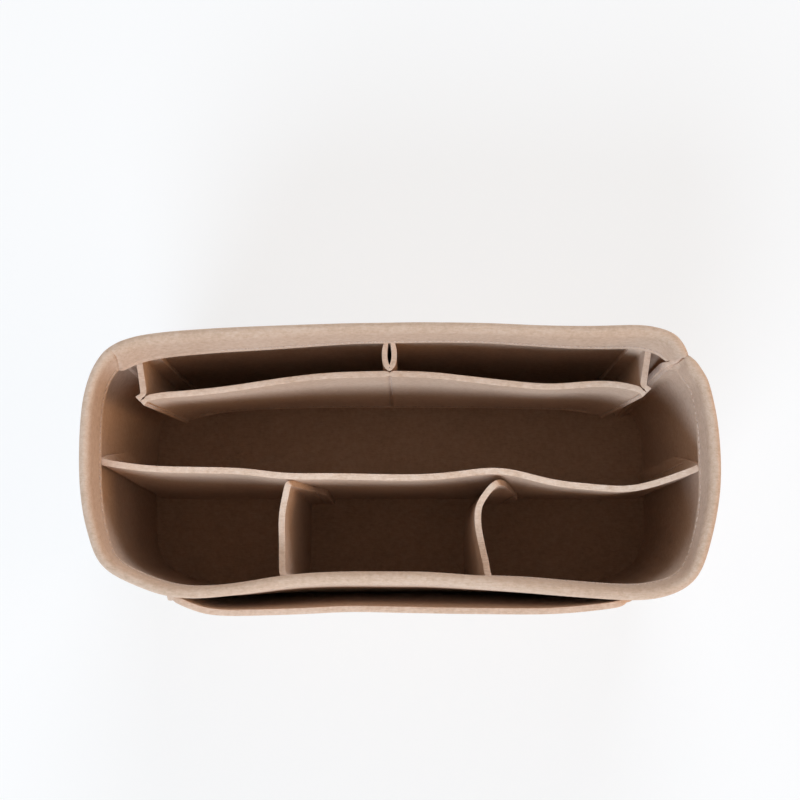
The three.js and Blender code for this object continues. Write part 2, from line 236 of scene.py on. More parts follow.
thread = new_material("sewing_thread")
thread_place = add_node(thread, "ShaderNodeTexCoord").outputs["Object"]
twist = add_node(
    thread, "ShaderNodeTexNoise",
    {"Vector": thread_place, "Scale": 1 / PLY_TURN, "Detail": 1},
).outputs["Fac"]
thread_colour = add_node(thread, "ShaderNodeValToRGB", {"Fac": twist})
# Painted shade in the groove between the plies and a painted highlight on each ply.
shade_between_plies, highlight_on_ply = thread_colour.color_ramp.elements
shade_between_plies.position, shade_between_plies.color = 0.3, linear("#B79A86")
highlight_on_ply.position, highlight_on_ply.color = 0.7, linear("#DAC2B0")
thread_surface = add_node(
    thread, "ShaderNodeBsdfPrincipled",
    {
        "Base Color": thread_colour.outputs["Color"],
        "Roughness": 0.6,
        "IOR": 1.55,
        "Sheen Weight": 0.15,
    },
)
add_node(thread, "ShaderNodeOutputMaterial", {"Surface": thread_surface.outputs["BSDF"]})
print("sewing_thread has", len(thread.node_tree.nodes), "nodes")

# %% [markdown]
# ## Plan lines
# Seen from above, each piece of felt is a line: the rim, a divider, a pocket. A line is
# drawn as a few points measured in the photograph, given as shares of half the insert's
# length and depth, with a smooth curve through them.
# A Catmull-Rom curve passes through its points, which a plain Bezier curve doesn't. Each of
# its spans is handed to Blender's own Bezier function.

# %% A line that is measured along its length
class PlanLine:
    """A line in plan. Marks are distances along it, and across points to its left."""

    def __init__(self, points):
        self.points = points
        self.marks = [0]
        for start, end in zip(points, points[1:]):
            self.marks.append(self.marks[-1] + (end - start).length)
        self.length = self.marks[-1]

    def span(self, mark):
        """The number of the short span that a mark is on, and the way along that span."""
        index = bisect.bisect_right(self.marks, mark) - 1
        index = min(max(index, 0), len(self.points) - 2)
        start, end = self.marks[index], self.marks[index + 1]
        return index, (mark - start) / (end - start)

    def at(self, mark):
        index, way = self.span(mark)
        return self.points[index].lerp(self.points[index + 1], way)

    def across(self, mark):
        along = self.at(mark + MM) - self.at(mark - MM)
        return Vector((-along.y, along.x, 0)).normalized()

    def even(self, steps):
        return [self.at(self.length * step / steps) for step in range(steps + 1)]


SPAN_STEPS = 24


def smooth_line(knots):
    """The line of a centripetal Catmull-Rom curve through the knots."""
    ends = [2 * knots[0] - knots[1], *knots, 2 * knots[-1] - knots[-2]]
    points = []
    for a, b, c, d in zip(ends, ends[1:], ends[2:], ends[3:]):
        before, span, after = (math.sqrt((q - p).length) for p, q in ((a, b), (b, c), (c, d)))
        leaving = ((b - a) / before - (c - a) / (before + span) + (c - b) / span) * span
        arriving = ((c - b) / span - (d - b) / (span + after) + (d - c) / after) * span
        handles = (b, b + leaving / 3, c - arriving / 3, c)
        points += geometry.interpolate_bezier(*handles, SPAN_STEPS)[:-1]
    return PlanLine([*points, knots[-1]])


# %% [markdown]
# ## The box
# The rim is wider than the floor. The floor is a rounded rectangle, and each point of the
# rim stands over the point of the floor that has the same bearing, so the wall is straight
# from floor to rim.

# %% Rim and floor lines
FELT = 3 * MM
RIM_LENGTH = 300 * MM
RIM_DEPTH = 131 * MM
BASE_LENGTH = 282 * MM
BASE_DEPTH = 118 * MM
HEIGHT = cad_high.z
BASE_SQUARENESS = 5

BACK_RIM_SHARES = [
    (0.915, 0.772), (0.895, 0.836), (0.871, 0.905), (0.839, 0.944), (0.796, 0.975),
    (0.745, 0.982), (0.631, 0.974), (0.442, 0.977), (0.287, 0.992), (0.063, 1),
    (-0.197, 0.99), (-0.41, 0.97), (-0.628, 0.944), (-0.741, 0.927), (-0.804, 0.91),
    (-0.851, 0.884), (-0.884, 0.857), (-0.914, 0.817),
]
WRAP_RIM_SHARES = [
    (-0.914, 0.817), (-0.936, 0.77), (-0.968, 0.647), (-0.99, 0.484), (-0.998, 0.306),
    (-1, 0.1), (-0.994, -0.193), (-0.977, -0.428), (-0.958, -0.569), (-0.936, -0.71),
    (-0.914, -0.773), (-0.89, -0.815), (-0.79, -0.92), (-0.731, -0.967), (-0.667, -0.99),
    (-0.599, -0.988), (-0.492, -0.962), (-0.338, -0.902), (-0.185, -0.878), (0, -0.873),
    (0.092, -0.875), (0.308, -0.92), (0.522, -0.971), (0.7, -1), (0.774, -0.995),
    (0.838, -0.96), (0.884, -0.91), (0.911, -0.857), (0.933, -0.78), (0.948, -0.685),
    (0.978, -0.445), (0.996, -0.214), (1, 0.014), (0.993, 0.288), (0.985, 0.405),
    (0.966, 0.585), (0.947, 0.66), (0.931, 0.72), (0.915, 0.772),
]


def scaled(shares, length, depth):
    return [Vector((x * length / 2, y * depth / 2, 0)) for x, y in shares]


back_rim = smooth_line(scaled(BACK_RIM_SHARES, RIM_LENGTH, RIM_DEPTH))
wrap_rim = smooth_line(scaled(WRAP_RIM_SHARES, RIM_LENGTH, RIM_DEPTH))

# The CAD model is centred as a whole, so its wall lies a little off the drawn one.
wall_low, wall_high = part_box("wall_wrap")
drawn_x = [point.x for point in wrap_rim.points]
drawn_y = [point.y for point in wrap_rim.points]
OFF_CENTRE = Vector((
    (wall_low.x + wall_high.x - min(drawn_x) - max(drawn_x)) / 2,
    wall_low.y - min(drawn_y),
    0,
))
print("rim in mm:", round((back_rim.length + wrap_rim.length) / MM), "round")
print("the wall lies off centre by", [round(value / MM, 2) for value in OFF_CENTRE])


def over_floor(rim_point):
    x = rim_point.x / RIM_LENGTH
    y = rim_point.y / RIM_DEPTH
    reach = (abs(x) ** BASE_SQUARENESS + abs(y) ** BASE_SQUARENESS) ** (-1 / BASE_SQUARENESS)
    return Vector((x * reach * BASE_LENGTH / 2, y * reach * BASE_DEPTH / 2, 0))


# %% [markdown]
# A wall panel knows its rim line and the floor line under it, point for point. Any spot in
# its felt can then be named by three numbers: a mark along the rim, a distance inwards from
# the outer face, and a height.

# %% Spots in the wall
class Wall:
    def __init__(self, rim):
        self.rim = rim
        self.floor = PlanLine([over_floor(point) for point in rim.points])

    def at(self, mark, inwards, height):
        index, way = self.rim.span(mark)
        start, end = self.floor.marks[index:index + 2]
        floor_mark = start + (end - start) * way
        share = height / HEIGHT
        point = self.floor.at(floor_mark).lerp(self.rim.at(mark), share)
        across = self.floor.across(floor_mark).lerp(self.rim.across(mark), share)
        point += across * inwards
        return Vector((point.x, point.y, height)) + OFF_CENTRE

    def marks(self, steps, margin=0):
        """Evenly spaced marks along the rim, a margin away from both ends."""
        return numpy.linspace(margin, self.rim.length - margin, steps + 1)


wraps_round = Wall(wrap_rim)
closes_back = Wall(back_rim)
for wall in (wraps_round, closes_back):
    print("a panel is", round(wall.rim.length / MM), "mm at the rim,",
          round(wall.floor.length / MM), "mm at the floor")

# %% [markdown]
# Every sheet is made the same way: a few vertices are drawn as the first row, and each next
# row is extruded from the last and moved to its place. Each spot of a row is a point and a
# share of the felt's full thickness, because a seam presses the felt thin. Blender orders
# the extruded edges and faces anew each run. They are sorted, so that the stitches laid on
# them later come out the same every time.

# %% A sheet grown row by row
def put_in_order(mesh):
    """Sorts edges and faces by their vertices, which are made in the same order each run."""
    mesh.verts.index_update()
    count = len(mesh.verts)

    def number(part):
        indices = [vertex.index for vertex in part.verts]
        return min(indices) * count + max(indices)

    mesh.edges.sort(key=number)
    mesh.faces.sort(key=number)


def grow_sheet(mesh, rows, closed=False):
    weights = mesh.verts.layers.deform.verify()
    line = [mesh.verts.new(point) for point, _ in rows[0]]
    following = line[1:] + line[:1] if closed else line[1:]
    edges = [mesh.edges.new(pair) for pair in zip(line, following)]
    lines = [line]
    for row in rows[1:]:
        grown = bmesh.ops.extrude_edge_only(mesh, edges=edges)["geom"]
        new = {part for part in grown if isinstance(part, bmesh.types.BMVert)}
        line = [
            next(edge.other_vert(v) for edge in v.link_edges if edge.other_vert(v) in new)
            for v in line
        ]
        edges = [
            part for part in grown
            if isinstance(part, bmesh.types.BMEdge) and new.issuperset(part.verts)
        ]
        for vertex, (point, _) in zip(line, row):
            vertex.co = point
        lines.append(line)
    for line, row in zip(lines, rows):
        for vertex, (_, share) in zip(line, row):
            vertex[weights][0] = share
    put_in_order(mesh)


# %% [markdown]
# Felt never stands perfectly flat. Each point is moved by a slow noise of up to half a
# millimetre. All pieces read the same noise at the same place, so pieces that touch stay
# together, and it fades out at the floor, where the insert stands flat. Blender's noise
# vectors start from the clock, so a seed makes every run give the same felt.

# %% The drift of the felt
DRIFT_LENGTH = 70 * MM
DRIFT_SIZE = 0.7 * MM
DRIFT_FADE = 40 * MM
DRIFT_SEED = 5
noise.seed_set(DRIFT_SEED)


def ramp(value, start, end):
    """0 on the start's side, 1 on the end's side, and a straight line between them."""
    return min(max((value - start) / (end - start), 0), 1)


def settled(point):
    drift = noise.noise_vector(point / DRIFT_LENGTH) * DRIFT_SIZE
    return point + Vector((drift.x, drift.y, 0)) * ramp(point.z, 0, DRIFT_FADE)


def ripple(place, length, size):
    """A small wave along a cut edge, the same each time for the same place."""
    return noise.noise(Vector((place / length, 0, 0))) * size


# %% [markdown]
# Three modifiers finish a sheet. Subdivision rounds its bends, Solidify gives it the felt's
# thickness to both sides, and Bevel softens the cut edges, which are never sharp in felt.
# They stay live, so the sheet itself remains a simple grid. Solidify also gives the edges
# that it closes their own material, the paler cut felt with its painted highlight.

# %% Finish a felt piece
EDGE_SOFTNESS = 0.7 * MM
CUT_EDGE_ANGLE = math.radians(50)
SMOOTHING = 2


def show(mesh, name, *materials):
    """Puts a finished bmesh into the scene as a piece of the insert."""
    data = bpy.data.meshes.new(name)
    mesh.normal_update()
    mesh.to_mesh(data)
    mesh.free()
    for material in materials:
        data.materials.append(material)
    data.shade_smooth()
    piece = add_object(name, data)
    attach(piece, "root")
    return piece


def felt_piece(mesh, node, thickness=FELT):
    """Turns a grown sheet into the felt piece that stands for a CAD node."""
    for vertex in mesh.verts:
        vertex.co = settled(vertex.co)
    area = sum(face.calc_area() for face in mesh.faces)
    piece = show(mesh, f"{node}_felt", needle_felt, cut_edge_with_painted_highlight)
    piece.vertex_groups.new(name="thickness")
    rounded = piece.modifiers.new("rounded", "SUBSURF")
    rounded.levels = SMOOTHING
    rounded.render_levels = SMOOTHING
    rounded.boundary_smooth = "PRESERVE_CORNERS"
    solid = piece.modifiers.new("solid", "SOLIDIFY")
    solid.thickness = thickness
    solid.offset = 0
    solid.vertex_group = "thickness"
    solid.material_offset_rim = 1
    soft = piece.modifiers.new("soft_edges", "BEVEL")
    soft.width = EDGE_SOFTNESS
    soft.segments = 3
    soft.limit_method = "ANGLE"
    soft.angle_limit = CUT_EDGE_ANGLE
    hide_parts(node)
    return piece


# %% [markdown]
# ## Wall panels and their hem
# The wall's felt goes up outside, folds over at the rim and comes down inside as a hem
# 20 mm deep. The row of stitches near the hem's cut edge presses both layers together.
# The wall could be a swept solid, as it is in CAD. Here its section is a list of rows for
# the middle of the felt: how far inwards, how high, and how thick.
# The hem isn't pressed equally everywhere. Where nothing lies behind it, its cut edge leans
# away from the wall. How far was measured in the photograph at several bearings.

# %% The wall's section
HEM = 20 * MM
HEM_FOOT = HEIGHT - HEM
HEM_STITCH = HEM_FOOT + 2.4 * MM
CORE_INWARDS = 2.75 * MM
CORE_HEIGHT = 156.4 * MM

WALL_SECTION_MM = [
    (1.5, 0, 1), (1.5, 4, 1), (1.5, 14, 1), (1.5, 35, 1), (1.5, 62, 1), (1.5, 90, 1),
    (1.5, 112, 1), (1.5, 127, 1), (1.5, 135, 1), (1.45, 140, 0.95), (1.5, 142.4, 0.78),
    (1.4, 144.6, 0.92), (1.35, 148.5, 0.92), (1.35, 152.5, 0.92), (1.35, 156, 0.92),
    (1.7, 157.9, 0.94), (2.75, 158.6, 0.96), (3.8, 157.9, 0.94), (4.15, 156, 0.92),
    (4.15, 152.5, 0.92), (4.15, 148.5, 0.92), (4.15, 144.6, 0.9), (4, 142.4, 0.74),
    (4.1, 141.2, 0.88), (4.15, 140, 0.95),
]
HEM_LEAN_MM = [
    (-180, 0.7), (-170, 0.6), (-163, 0.2), (-155, 0), (-70, 0), (-60, 0.5), (-53, 1.5),
    (-44, 2.1), (-34, 1.8), (-28, 1.4), (-24, 0.2), (-16, 0), (-8, 0.2), (0, 1), (8, 0.3),
    (14, 0), (21, 0.6), (24, 2.2), (34, 2), (42, 1.2), (56, 0.6), (110, 0.8), (135, 2.6),
    (156, 3.4), (159, 3.1), (161, 0.5), (165, 0), (171, 0.4), (180, 0.7),
]


def hem_lean(point):
    bearing = math.degrees(math.atan2(point.y, point.x))
    return numpy.interp(bearing, *zip(*HEM_LEAN_MM)) * MM


def towards_core(inwards, height):
    """The direction, in the section, from the felt to the middle of the fold."""
    if height < CORE_HEIGHT - HEM / 4:
        return Vector((1 if inwards < CORE_INWARDS else -1, 0))
    return Vector((CORE_INWARDS - inwards, CORE_HEIGHT - height)).normalized()


# %% [markdown]
# Each back corner has an upright seam. Over the fold the two panels simply meet. Below the
# hem both turn inwards and are sewn together 5 mm from their cut edges, which stand inside
# as a ridge. At the right corner the ridge goes on into the hem, lies over towards the back
# wall, and pulls the rim into a notch with puffed felt beside it. The left one is neat: its
# two panels lap over each other at the fold, and their seam slants down the hem.
# A panel's last stations make the turn. They are given twice, for a plain meeting and for
# the full turn, and each row of the wall takes its own mix of the two.

# %% What the corner seams are like
MEETING_MM = [
    (0.1, 0, 0.74), (0.5, 0, 0.88), (1, 0, 0.96), (1.6, 0, 1), (2.3, 0, 1), (3.2, 0, 1),
    (4.3, 0, 1), (5.7, 0, 1), (7.5, 0, 1), (10, 0, 1), (13.5, 0, 1), (18, 0, 1),
]
TURNED_MM = [
    (1.35, 6.6, 0.9), (1.2, 5, 0.78), (1.1, 3.4, 0.68), (1.1, 2.1, 0.68), (1.2, 1, 0.72),
    (1.7, 0.3, 0.82), (2.7, 0, 0.94), (4.2, 0, 1), (6, 0, 1), (9, 0, 1), (13, 0, 1),
    (18, 0, 1),
]
SEAM_ZONE = TURNED_MM[-1][0] * MM
NOTCH_REACH = 3.6 * MM
CREASE_REACH = 1.1 * MM
PUFF_PLACE = 6.5 * MM
PUFF_REACH = 3.6 * MM

# low and high: how much of the turn is made below the hem and in it.
# over: how far the ridge lies over. All other values are in millimetres.
RIGHT_SEAM = {
    "low": 1, "high": 0.68, "over": 0.55, "notch": 1.5, "crease": 0.9, "puff": 0.9,
    "lap": 0, "skew": 0,
}
LEFT_SEAM = {
    "low": 0.3, "high": 0, "over": 0, "notch": 0, "crease": 1.9, "puff": 0.35,
    "lap": 1.3, "skew": 4.2,
}
print("each panel's end has", len(TURNED_MM), "stations in", round(SEAM_ZONE / MM), "mm")


# %% A panel's end at a corner seam
def turn_share(seam, inwards, height):
    if inwards < CORE_INWARDS:
        return seam["low"] * ramp(height, HEM_FOOT + 3 * MM, HEM_FOOT - 5 * MM)
    return seam["high"] * ramp(height, HEIGHT - 4 * MM, HEM_FOOT)


def hump(distance, reach):
    """1 in the middle, falling softly to almost nothing at twice the reach."""
    return math.exp(-(distance / reach) ** 2)


def panel_end(seam, inwards, height):
    """For each end station: away from the seam, turned in, pinch, puff, thickness share."""
    turn = turn_share(seam, inwards, height)
    inner = ramp(inwards, CORE_INWARDS - FELT / 8, CORE_INWARDS + FELT / 3)
    near_rim = ramp(height, HEM_FOOT - HEM / 2, HEIGHT - HEM / 4)
    spots = []
    for plain, turned in zip(MEETING_MM, TURNED_MM):
        away, inwards_by, share = (a + (b - a) * turn for a, b in zip(plain, turned))
        away, inwards_by = away * MM, inwards_by * MM
        pinch = hump(away, NOTCH_REACH) * seam["notch"] * near_rim
        pinch += hump(away, CREASE_REACH) * seam["crease"] * inner
        puff = hump(away - PUFF_PLACE, PUFF_REACH) * seam["puff"] * inner * near_rim
        away -= seam["lap"] * MM * (1 - inner)
        spots.append((away, inwards_by, pinch * MM, puff * MM, share))
    return spots


# %% [markdown]
# A panel could be one long strip of even squares, but its seams need stations half a
# millimetre apart, and its plain stretch doesn't. So a row is put together from the stations
# of its first seam, a few wide ones, and those of its last seam. The hem's edge is cut by
# hand, so it waves a little.

# %% One row of a wall panel
STATION_STEP = 8.5 * MM
HEM_WAVE_LENGTH = 14 * MM
HEM_WAVE = 0.7 * MM
LEAN_AT_FOLD = 0.25


def wall_row(wall, seams, inwards, height, pressed):
    length = wall.rim.length
    core = towards_core(inwards, height)
    inner = ramp(inwards, CORE_INWARDS, 2 * CORE_INWARDS - FELT / 2)
    below_fold = ramp(height, HEIGHT - HEM / 5, HEM_FOOT)

    def slide(seam, away, turned):
        """How far a seam's station moves along the rim, as the seam lies over or slants."""
        skew = seam["skew"] * MM * (1 - away / SEAM_ZONE)
        return seam["over"] * turned + skew * inner * below_fold

    first, last = [
        [(away, slide(seam, away, turned), turned, *rest)
         for away, turned, *rest in panel_end(seam, inwards, height)]
        for seam in seams
    ]
    plain_steps = round((length - 2 * SEAM_ZONE) / STATION_STEP)
    spots = [
        *((away + slid, *rest) for away, slid, *rest in first),
        *((mark, 0, 0, 0, 1) for mark in wall.marks(plain_steps, SEAM_ZONE)[1:-1]),
        *((length - away + slid, *rest) for away, slid, *rest in reversed(last)),
    ]
    row = []
    for mark, turned, pinch, puff, share in spots:
        lean = hem_lean(wall.rim.at(mark)) * inner
        lean *= LEAN_AT_FOLD + (1 - LEAN_AT_FOLD) * below_fold
        wave = ripple(mark, HEM_WAVE_LENGTH, HEM_WAVE) * inner * below_fold ** 4
        across = inwards + lean + turned + core.x * pinch + puff
        point = wall.at(mark, across, height + core.y * pinch + wave)
        row.append((point, share * pressed))
    return row


# %% Sew up the two wall panels
def wall_panel(node, wall, seams):
    section = [(inwards * MM, height * MM, share) for inwards, height, share in WALL_SECTION_MM]
    mesh = bmesh.new()
    grow_sheet(mesh, [wall_row(wall, seams, *entry) for entry in section])
    return felt_piece(mesh, node)


wall_wrap = wall_panel("wall_wrap", wraps_round, (LEFT_SEAM, RIGHT_SEAM))
back_wall = wall_panel("back_wall", closes_back, (RIGHT_SEAM, LEFT_SEAM))

# %% [markdown]
# ## Seats for the other pieces
# The floor, dividers and pockets all lie against the wall or against each other. Their
# places could be typed in, but then a changed wall would leave them behind. Instead a plain
# copy of a surface, a felt's half thickness off, is searched with rays, and each end of a
# piece is put where its ray lands.

# %% Seats that rays can find
ALONG_X = Vector((1, 0, 0))
ALONG_Y = Vector((0, 1, 0))
BELOW_FLOOR = -10 * MM


def wall_seat(inwards):
    mesh = bmesh.new()
    rows = []
    for height in (BELOW_FLOOR, HEIGHT):
        back = [(closes_back.at(mark, inwards, height), 1) for mark in closes_back.marks(40)]
        wrap = [(wraps_round.at(mark, inwards, height), 1) for mark in wraps_round.marks(90)]
        rows.append([*back[:-1], *wrap[:-1]])
    grow_sheet(mesh, rows, closed=True)
    seat = BVHTree.FromBMesh(mesh)
    mesh.free()
    return seat


def directions_across(points):
    """The level direction to the left of travel at each point of a line."""
    ends = zip([points[0], *points[:-1]], [*points[1:], points[-1]])
    steps = [after - before for before, after in ends]
    return [Vector((-step.y, step.x, 0)).normalized() for step in steps]


def sheet_seat(foot, top, offset):
    """The plain surface beside a standing sheet, to the left of travel by offset."""
    mesh = bmesh.new()
    rows = []
    for line in (foot, top):
        points = [point for point, _ in line]
        sides = directions_across(points)
        rows.append([(point + side * offset, 1) for point, side in zip(points, sides)])
    grow_sheet(mesh, rows)
    seat = BVHTree.FromBMesh(mesh)
    mesh.free()
    return seat


def landing(seat, x, y, height, direction):
    return seat.ray_cast(Vector((x, y, height)), direction)[0]


inside_seat = wall_seat(1.5 * FELT)
outside_seat = wall_seat(-0.5 * FELT)
wall_face = wall_seat(FELT)
inner_end = landing(inside_seat, 0, 0, HEIGHT / 2, ALONG_X).x - FELT / 2
print("half way up, the right end wall's inner face is at", round(inner_end / MM, 1), "mm")

# %% [markdown]
# ## Base
# The floor is one flat sheet that the walls are sewn round. A square grid is drawn out until
# every rim point is pressed a little into the wall's felt, so its squares stay even and its
# corners round themselves.

# %% Base panel
BASE_INWARDS = 0.6 * FELT
base_edge = wall_seat(BASE_INWARDS)
base = bmesh.new()
base_weights = base.verts.layers.deform.verify()
bmesh.ops.create_grid(base, x_segments=22, y_segments=10, size=1)
middle = Vector((0, 0, FELT / 2))
for vertex in base.verts:
    vertex[base_weights][0] = 1
    reach = max(abs(vertex.co.x), abs(vertex.co.y))
    if reach == 0:
        vertex.co = middle
        continue
    bearing = Vector((vertex.co.x * BASE_LENGTH, vertex.co.y * BASE_DEPTH, 0)).normalized()
    vertex.co = middle.lerp(landing(base_edge, *middle, bearing), reach)
felt_piece(
    base, "base_panel",
)

# %% [markdown]
# ## Standing sheets
# A divider or a pocket wall stands between two plan lines, one for its foot and one for its
# upper edge. Its ends are bent over into flanges, 12 mm wide, that are sewn to what they
# lie on. A boolean cut could fit them to a wall, but a bend that follows the plan line keeps
# the felt's thickness and its grid.

# %% Lines with flanges
FLANGE = 12 * MM
DIVIDER_TOP = HEM_FOOT - 0.3 * MM
DIVIDER_FOOT = FELT
FLANGE_MM = [(0, 1), (2.5, 1), (4, 0.92), (5, 0.7), (6, 0.92)]
ROW_SHARES = [0, 0.03, 0.12, 0.28, 0.48, 0.68, 0.84, 0.94, 0.985, 1]
BEND_STEPS = 4
EDGE_WAVE_LENGTH = 18 * MM
EDGE_WAVE = 0.6 * MM


def bend(before, corner, after, reach):
    start = corner + (before - corner).normalized() * reach
    end = corner + (after - corner).normalized() * reach
    handles = (start, start.lerp(corner, 2 / 3), end.lerp(corner, 2 / 3), end)
    return [(point, 1) for point in geometry.interpolate_bezier(*handles, BEND_STEPS + 1)]


def flange(tip, corner):
    towards = (corner - tip).normalized()
    return [(tip + towards * mark * MM, share) for mark, share in FLANGE_MM]


def flanged_line(first_tip, knots, last_tip, first_reach, last_reach, steps):
    first, last = knots[0], knots[-1]
    start = first + (knots[1] - first).normalized() * first_reach
    end = last + (knots[-2] - last).normalized() * last_reach
    web = smooth_line([start, *knots[1:-1], end]).even(steps)[1:-1]
    return [
        *flange(first_tip, first), *bend(first_tip, first, start, first_reach),
        *((point, 1) for point in web),
        *bend(end, last, last_tip, last_reach), *reversed(flange(last_tip, last)),
    ]


def standing_rows(foot, top):
    """Rows from the foot to the upper edge, which is cut by hand and waves a little."""
    rows = []
    for way in ROW_SHARES:
        row = []
        for (low, share), (high, _) in zip(foot, top):
            point = low.lerp(high, way)
            point.z += ripple(high.x + high.y, EDGE_WAVE_LENGTH, EDGE_WAVE) * way ** 6
            row.append((point, share))
        rows.append(row)
    return rows


def line_length(line):
    """Length seen from above, so a flange's slanted upper corner doesn't add to it."""
    return sum((b - a).xy.length for (a, _), (b, _) in zip(line, line[1:]))


def standing_piece(node, foot, top, thickness=FELT, closed=False):
    mesh = bmesh.new()
    grow_sheet(mesh, standing_rows(foot, top), closed)
    return felt_piece(mesh, node, thickness=thickness)


# %% [markdown]
# ## Dividers
# One long strip runs from end to end. Its upper edge wanders, because nothing holds it in
# the middle, and its foot is straight on the floor. The upper corners of its flanges are cut
# away at a slant, so that no doubled felt shows beside it. The cut could be a bisected mesh,
# but lowering the flange's upper points keeps the grid whole.

# %% Long divider
LONG_DIVIDER_SHARES = [
    (-0.803, -0.038), (-0.503, -0.051), (-0.369, -0.089), (-0.226, -0.095), (0.097, -0.098),
    (0.287, -0.056), (0.347, -0.066), (0.497, -0.151), (0.614, -0.177), (0.724, -0.191),
    (0.808, -0.151), (0.872, -0.101),
]
LONG_DIVIDER_LEFT_SHARE = 0.006
LONG_DIVIDER_RIGHT_SHARE = -0.028
LONG_DIVIDER_FOOT_SHARE = -0.073
DIVIDER_BEND = 4 * MM
CUT_SLOPE = 5.5


def long_divider_line(height, depth, left_share, right_share, middle_knots):
    ends = []
    for share, direction in ((left_share, -ALONG_X), (right_share, ALONG_X)):
        y = share * depth / 2 + OFF_CENTRE.y
        corner = landing(inside_seat, 0, y, height, direction)
        tip = landing(inside_seat, 0, y + FLANGE, height, direction)
        ends.append((corner, tip))
    (left, left_tip), (right, right_tip) = ends
    middle_points = [point + OFF_CENTRE + Vector((0, 0, height)) for point in middle_knots]
    knots = [left, *middle_points, right]
    return flanged_line(left_tip, knots, right_tip, DIVIDER_BEND, DIVIDER_BEND, 36)


def cut_corner(foot, top, reach):
    """Slants the upper edge of the first flange, lower the further it is from its bend."""
    flange_spots = len(FLANGE_MM) + BEND_STEPS
    bend_end = top[flange_spots][0]
    lowered = []
    for number, ((low, _), (high, share)) in enumerate(zip(foot, top)):
        if number < flange_spots:
            drop = CUT_SLOPE * max(0, (high - bend_end).length - reach)
            high = high.lerp(low, drop / (high.z - low.z))
        lowered.append((high, share))
    return lowered


long_top = long_divider_line(
    DIVIDER_TOP, RIM_DEPTH, LONG_DIVIDER_LEFT_SHARE, LONG_DIVIDER_RIGHT_SHARE,
    scaled(LONG_DIVIDER_SHARES, RIM_LENGTH, RIM_DEPTH),
)
long_foot_shares = [(x, LONG_DIVIDER_FOOT_SHARE) for x, _ in LONG_DIVIDER_SHARES]
long_foot = long_divider_line(
    DIVIDER_FOOT, BASE_DEPTH, LONG_DIVIDER_FOOT_SHARE, LONG_DIVIDER_FOOT_SHARE,
    scaled(long_foot_shares, BASE_LENGTH, BASE_DEPTH),
)
long_cut = cut_corner(long_foot, long_top, DIVIDER_BEND)
long_cut = cut_corner(long_foot[::-1], long_cut[::-1], DIVIDER_BEND)[::-1]
long_divider = standing_piece(
    "long_divider", long_foot, long_cut,
)

# %% [markdown]
# Two short strips run from the long divider to the front wall. The right one peels off the
# long divider in a wide curve. Their back flanges are cut away at a slant too.

# %% Short dividers
LEFT_DIVIDER_SHARES = [(-0.355, 0), (-0.373, 0.33), (-0.372, 0.66), (-0.37, 1)]
LEFT_DIVIDER_FOOT_SHARES = [(-0.365, 0), (-0.367, 0.33), (-0.369, 0.66), (-0.37, 1)]
RIGHT_DIVIDER_SHARES = [
    (0.307, 0), (0.254, 0.27), (0.249, 0.43), (0.259, 0.63), (0.276, 0.87), (0.28, 1),
]
RIGHT_DIVIDER_FOOT_SHARES = [
    (0.287, 0), (0.267, 0.27), (0.266, 0.43), (0.266, 0.63), (0.27, 0.87), (0.272, 1),
]
SHARP_BEND = 2.5 * MM
PEEL_BEND = 9 * MM
in_front_of_divider = sheet_seat(long_foot, long_top, -FELT)


def short_divider_line(height, length, shares, back_reach):
    """shares hold how far along the insert, and how far from the divider to the front."""
    def behind(x):
        return landing(in_front_of_divider, x, -RIM_DEPTH, height, ALONG_Y)

    def in_front(x):
        return landing(inside_seat, x, -RIM_DEPTH / 4, height, -ALONG_Y)

    back_x = shares[0][0] * length / 2 + OFF_CENTRE.x
    front_x = shares[-1][0] * length / 2 + OFF_CENTRE.x
    back, front = behind(back_x), in_front(front_x)
    knots = [
        Vector((x * length / 2 + OFF_CENTRE.x, back.y + (front.y - back.y) * way, height))
        for x, way in shares
    ]
    back_tip = behind(back_x + FLANGE + back_reach)
    front_tip = in_front(front_x + FLANGE)
    return flanged_line(back_tip, knots, front_tip, back_reach, DIVIDER_BEND, 12)


def short_divider(node, foot_shares, top_shares, back_reach):
    foot = short_divider_line(DIVIDER_FOOT, BASE_LENGTH, foot_shares, back_reach)
    top = short_divider_line(DIVIDER_TOP, RIM_LENGTH, top_shares, back_reach)
    top = cut_corner(foot, top, back_reach)
    return standing_piece(node, foot, top), foot, top


left_divider, left_foot, left_top = short_divider(
    "short_divider_left", LEFT_DIVIDER_FOOT_SHARES, LEFT_DIVIDER_SHARES, SHARP_BEND,
)
right_divider, right_foot, right_top = short_divider(
    "short_divider_right", RIGHT_DIVIDER_FOOT_SHARES, RIGHT_DIVIDER_SHARES, PEEL_BEND,
)

# %% [markdown]
# ## Box pocket
# The box pocket hangs on the back wall. Its front panel and its two sides are separate
# strips, sewn together at corners whose cut edges point outwards like a beak. The sides
# splay a little towards the wall and turn a foot inwards on it. The panel is drawn in at
# the middle, where the pen loop is sewn to it, and its bottom is closed by a flat strip.

# %% Plan lines of the box pocket
POCKET_LEFT_GAP = 26.4 * MM
POCKET_RIGHT_GAP = 32.6 * MM
POCKET_MOUTH = 22.6 * MM
POCKET_MIDDLE = 16.7 * MM
POCKET_FLOOR_DEPTH = 12 * MM
POCKET_FLOOR = DIVIDER_TOP - 106 * MM
POCKET_FOOT = 8 * MM
SIDE_SPLAY = 3 * MM
CORNER_SEAM = 4 * MM
PEN_LOOP_X = -4.8 * MM
DRAWN_IN_SHARES = [
    (0, 0.27), (0.03, 0.06), (0.07, 0), (0.15, 0.12), (0.23, 0.43), (0.31, 0.77),
    (0.39, 0.95), (0.49, 1), (0.56, 0.93), (0.64, 0.62), (0.735, 0.3), (0.81, 0.16),
    (0.92, 0.48), (0.97, 0.27), (1, 0.25),
]
SEAM_MM = [(0, 1), (1.4, 0.9), (2.2, 0.66), (3, 0.85)]
